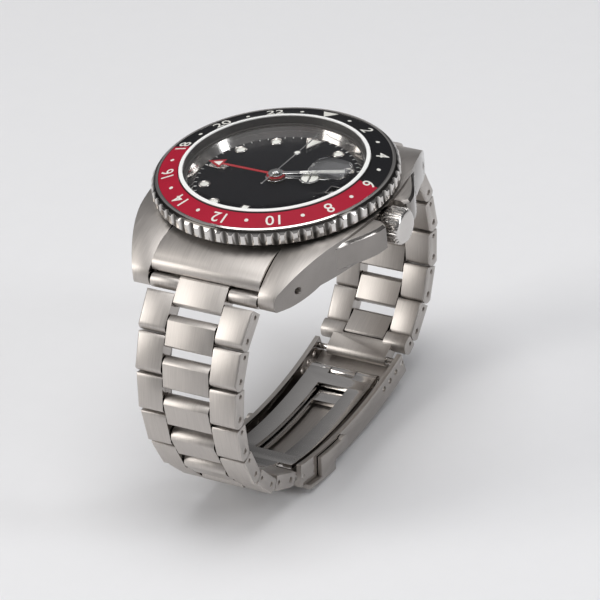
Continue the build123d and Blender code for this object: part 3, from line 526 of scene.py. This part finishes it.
def insert_matrix(hour):
    """A frame on the insert's cone at a 24-hour place: x along it, y outwards, z off it."""
    return (Matrix.Rotation(radians(-15 * hour), 4, "Z")
            @ Matrix.Translation((0, NUMERAL_R * MM, NUMERAL_Z * MM))
            @ Matrix.Rotation(-INSERT_SLOPE, 4, "X"))


def add_patch(bm, outline, matrix, depth=0.03):
    """A thin raised patch with the given outline in mm."""
    start = len(bm.verts)
    add_loops(bm, [lifted(outline, -depth), lifted(outline, depth)])
    bm.verts.ensure_lookup_table()
    bmesh.ops.transform(bm, matrix=matrix, verts=bm.verts[start:])


def circle(radius, steps=20):
    return [polar(radius, 360 * n / steps) for n in range(steps)]


def build_numerals(bm):
    """Even hours as numbers, odd hours as dots, and the triangle at 24."""
    for hour in range(2, 24, 2):
        add_text(bm, str(hour), NUMERAL_SIZE, insert_matrix(hour), embolden=0.015, depth_mm=0.06)
    for hour in range(1, 24, 2):
        add_patch(bm, circle(0.33), insert_matrix(hour))
    add_patch(bm, [(-1.35, 1.15), (0, -1.25), (1.35, 1.15)], insert_matrix(0))


def build_bright_step(bm):
    """Bright step between the scalloped edge and the insert."""
    profile = [(18.78, 10.35), (19.3, 10.3), (19.32, 10.42), (19.05, 10.56), (18.8, 10.5)]
    add_lathe(bm, profile, (0, 0), 160)


# ---- dial ---------------------------------------------------------------------------
DIAL_TOP, PLOT_R, PLOT_TOP = 8.25, 11.55, 8.6
ROUND_MARKERS = (1, 2, 4, 5, 7, 8, 10, 11)
BATON_R, MARKER_RIM = 10.9, 0.22
DATE_R, DATE_TOP, SHOWN_DATE = 10.9, 7.305, 24


def outlines():
    """The shaped markers' outlines: triangle at 12, batons at 6 and 9."""
    triangle = [(0, 9.5), (1.6, 12.72), (-1.6, 12.72)]
    baton = [(-0.7, -1.65), (0.7, -1.65), (0.7, 1.65), (-0.7, 1.65)]
    return [triangle, turned_outline(baton, 0, (0, -BATON_R)),
            turned_outline(baton, 90, (-BATON_R, 0))]


def build_surrounds(bm):
    for hour in ROUND_MARKERS:
        centre = polar(PLOT_R, 90 - 30 * hour)
        add_lathe(bm, [(0.74, DIAL_TOP), (1.0, DIAL_TOP), (1.0, PLOT_TOP - 0.08), (0.94, PLOT_TOP),
                       (0.8, PLOT_TOP), (0.74, PLOT_TOP - 0.05)], centre)
    for outline in outlines():
        add_frame(bm, outline, DIAL_TOP, PLOT_TOP, MARKER_RIM)


def build_lume(bm):
    for hour in ROUND_MARKERS:
        add_dome(bm, 0.745, polar(PLOT_R, 90 - 30 * hour), DIAL_TOP, PLOT_TOP + 0.02)
    for outline in outlines():
        add_fill(bm, shrink(outline, MARKER_RIM), DIAL_TOP, PLOT_TOP - 0.02)


def build_minute_track(bm):
    for minute in range(60):
        half = 0.1 if minute % 5 == 0 else 0.05
        tick = [(12.86, -half), (13.3, -half), (13.3, half), (12.86, half)]
        turned = turned_outline(tick, 90 - 6 * minute)
        add_loops(bm, [lifted(turned, DIAL_TOP - 0.01), lifted(turned, DIAL_TOP + 0.015)])


def build_date_frame(bm):
    """Bright bevelled frame round the date window."""
    outline = [(9.45, -1.12), (12.35, -1.12), (12.35, 1.12), (9.45, 1.12)]
    add_frame(bm, outline, DIAL_TOP, DIAL_TOP + 0.1, 0.14)


def build_dates(bm):
    for day in range(1, 32):
        turn = Matrix.Rotation(radians((day - SHOWN_DATE) * 360 / 31), 4, "Z")
        spot = Matrix.Translation((DATE_R * MM, 0, DATE_TOP * MM))
        add_text(bm, str(day), 2.3, turn @ spot, embolden=0.02, depth_mm=0.02)


# ---- hands --------------------------------------------------------------------------
def hand_fill(name, body, heading, z, shapes):
    """Luminous fillings in a hand's windows, above z; heading is the way its tip points."""
    def build(bm):
        for shape in shapes:
            outline = turned_outline(shape, heading)
            add_loops(bm, [lifted(outline, z + 0.01), lifted(outline, z + 0.1),
                           lifted(shrink(outline, 0.04), z + 0.125)])
    place_piece(mesh_of(name, build), name, body, LOOKS["lume"])


def half_disc(radius, centre_y, upper, gap):
    """Half of a round window, above or below the bar across it."""
    start, side = (0, 1) if upper else (180, -1)
    points = []
    for n in range(17):
        x, y = polar(radius, start + 180 * n / 16)
        if abs(y) < gap:
            y = side * gap
        points.append((x, centre_y + y))
    return points


HOUR_HEADING, MINUTE_HEADING, GMT_HEADING, SECONDS_HEADING = -76, -68, 90, -3
HOUR_FILL_Z, GMT_FILL_Z, MINUTE_FILL_Z, SECONDS_FILL_Z = 8.72, 9.06, 9.34, 9.62


def dress_hands():
    for name in ("hour_hand", "minute_hand", "gmt_hand", "seconds_hand"):
        refined(name, bevel_mm=0.035, segments=1)
    hand_fill("hour_hand_lume", "hour", HOUR_HEADING, HOUR_FILL_Z,
              [half_disc(1.35, 5.6, True, 0.18), half_disc(1.35, 5.6, False, 0.18)])
    hand_fill("minute_hand_lume", "minute", MINUTE_HEADING, MINUTE_FILL_Z,
              [[(-0.2, 3.9), (0.2, 3.9), (0.46, 11.1), (-0.46, 11.1)]])
    hand_fill("gmt_hand_lume", "gmt", GMT_HEADING, GMT_FILL_Z,
              [[(-0.7, 10.2), (0.7, 10.2), (0, 11.6)]])
    hand_fill("seconds_hand_lume", "seconds", SECONDS_HEADING, SECONDS_FILL_Z,
              [[(x, y + 6.4) for x, y in circle(0.44)]])
    cap = mesh_of("hand_cap", lambda bm: add_dome(bm, 0.6, (0, 0), 9.74, 9.92))
    place_piece(cap, "hand_cap", "seconds", LOOKS["hands_steel"])


# ---- dress the watch ----------------------------------------------------------------
for node_name, obj in nodes.items():
    obj.data.materials.clear()
    look = EXTRA["lens"] if node_name == "date_lens" else LOOKS[SLOT_OF[node_name]]
    obj.data.materials.append(look)

EDGE_WIDTHS = {
    "mid_case": 0.16, "end_link_12": 0.12, "end_link_6": 0.12, "bezel_ring": 0.07, "crown": 0.05,
    "clasp_cover": 0.1, "clasp_catch": 0.1, "clasp_inner_blade": 0.08,
    "clasp_middle_blade": 0.08, "lug_spring_bars": 0.05, "clasp_pins": 0.05, "crown_tube": 0.05,
}
for side in ("12", "6"):
    for row in range(1, 8):
        EDGE_WIDTHS[f"links_{side}_row_{row}"] = 0.12
EDGE_WIDTHS["case_back"] = 0.08
OWN_LOOK = {"crown": EXTRA["knurl"], "bezel_ring": EXTRA["scalloped"], "case_back": EXTRA["back"]}
for node_name, edge_width in EDGE_WIDTHS.items():
    refined(node_name, edge_width, material=OWN_LOOK.get(node_name))

place_piece(mesh_of("bezel_numerals", build_numerals), "bezel_numerals", "bezel",
            EXTRA["numeral"])
place_piece(mesh_of("bezel_bright_step", build_bright_step), "bezel_bright_step", "bezel",
            LOOKS["polished_steel"])

surrounds = place_piece(mesh_of("marker_surrounds", build_surrounds), "marker_surrounds", "head",
                        LOOKS["polished_steel"])
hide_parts("hour_markers")
place_piece(mesh_of("marker_lume", build_lume), "marker_lume", "head", LOOKS["lume"])
place_piece(mesh_of("minute_track", build_minute_track), "minute_track", "head",
            EXTRA["print"])
place_piece(mesh_of("date_frame", build_date_frame), "date_frame", "head",
            LOOKS["polished_steel"])
place_piece(mesh_of("date_numerals", build_dates), "date_numerals", "date",
            EXTRA["ink"])
dress_hands()


# ---- stage, light and camera --------------------------------------------------------
low, high = (Vector(corner) for corner in cad_bounds)
middle = (low + high) / 2

FLOOR_REACH, FLOOR_GAP = 12.0, 0.0001
floor_mesh = bpy.data.meshes.new("floor")
floor_corners = [(x * FLOOR_REACH, y * FLOOR_REACH, 0)
                 for x, y in ((-1, -1), (1, -1), (1, 1), (-1, 1))]
floor_mesh.from_pydata(floor_corners, [], [(0, 1, 2, 3)])
floor = bpy.data.objects.new("floor", floor_mesh)
floor.location.z = low.z - FLOOR_GAP
bpy.context.scene.collection.objects.link(floor)
floor.data.materials.append(coating("floor_pale", (0.8, 0.8, 0.81), 0.6, variation=0.02))


def softbox(name, position, size, power, colour=(1, 1, 1)):
    """A soft rectangular lamp aimed at the watch."""
    lamp = bpy.data.lights.new(name, "AREA")
    lamp.shape = "RECTANGLE"
    lamp.size, lamp.size_y = size
    lamp.energy = power
    lamp.color = colour
    holder = bpy.data.objects.new(name, lamp)
    holder.location = position
    holder.rotation_euler = (middle - Vector(position)).to_track_quat("-Z", "Y").to_euler()
    bpy.context.scene.collection.objects.link(holder)


softbox("overhead", (0.05, -0.05, 0.75), (0.6, 0.6), 3.6)
softbox("left_front", (-0.55, -0.45, 0.35), (0.35, 0.5), 2.6, (1, 0.98, 0.95))
softbox("right_strip", (0.6, 0.1, 0.25), (0.12, 0.5), 1.2, (0.95, 0.97, 1))

HORIZON, OVERHEAD, SKY_STRENGTH = (0.17, 0.17, 0.175, 1), (0.9, 0.9, 0.92, 1), 0.42
world = bpy.data.worlds.new("studio")
world.use_nodes = True
sky = world.node_tree
background = sky.nodes["Background"]
sky_coords = sky.nodes.new("ShaderNodeTexCoord")
sky_parts = sky.nodes.new("ShaderNodeSeparateXYZ")
sky_ramp = sky.nodes.new("ShaderNodeValToRGB")
sky_ramp.color_ramp.elements[0].color = HORIZON
sky_ramp.color_ramp.elements[0].position = 0.1
sky_ramp.color_ramp.elements[1].color = OVERHEAD
sky_ramp.color_ramp.elements[1].position = 0.9
sky.links.new(sky_coords.outputs["Generated"], sky_parts.inputs["Vector"])
sky.links.new(sky_parts.outputs["Z"], sky_ramp.inputs["Fac"])
sky.links.new(sky_ramp.outputs["Color"], background.inputs["Color"])
background.inputs["Strength"].default_value = SKY_STRENGTH
bpy.context.scene.world = world

# The camera looks from the crown side of 6 o'clock, and the box round the watch fills FILL
# of the picture's width.
AZIMUTH, ELEVATION, ROLL = radians(33.4), radians(31.5), radians(-6.7)
LENS, SENSOR, FILL = 260.0, 36.0, 0.9
back = Vector((sin(AZIMUTH) * cos(ELEVATION), -cos(AZIMUTH) * cos(ELEVATION), sin(ELEVATION)))
level = Vector((cos(AZIMUTH), sin(AZIMUTH), 0))
upright = back.cross(level)
right = level * cos(ROLL) + upright * sin(ROLL)
up = back.cross(right)
corners = [Vector((x, y, z)) for x in (low.x, high.x) for y in (low.y, high.y)
           for z in (low.z, high.z)]
spans = []
for axis in (right, up):
    values = [corner.dot(axis) for corner in corners]
    spans.append((min(values), max(values)))
width = max(high_value - low_value for low_value, high_value in spans)
centre = right * sum(spans[0]) / 2 + up * sum(spans[1]) / 2 + back * middle.dot(back)
distance = width / FILL * LENS / SENSOR
camera_data = bpy.data.cameras.new("camera")
camera_data.lens = LENS
camera_data.sensor_width = SENSOR
camera = bpy.data.objects.new("camera", camera_data)
camera_data.clip_start = 0.01
camera.matrix_world = Matrix((
    (right.x, up.x, back.x, centre.x + back.x * distance),
    (right.y, up.y, back.y, centre.y + back.y * distance),
    (right.z, up.z, back.z, centre.z + back.z * distance),
    (0, 0, 0, 1),
))
bpy.context.scene.collection.objects.link(camera)
bpy.context.scene.camera = camera
bpy.context.scene.view_settings.view_transform = "Standard"
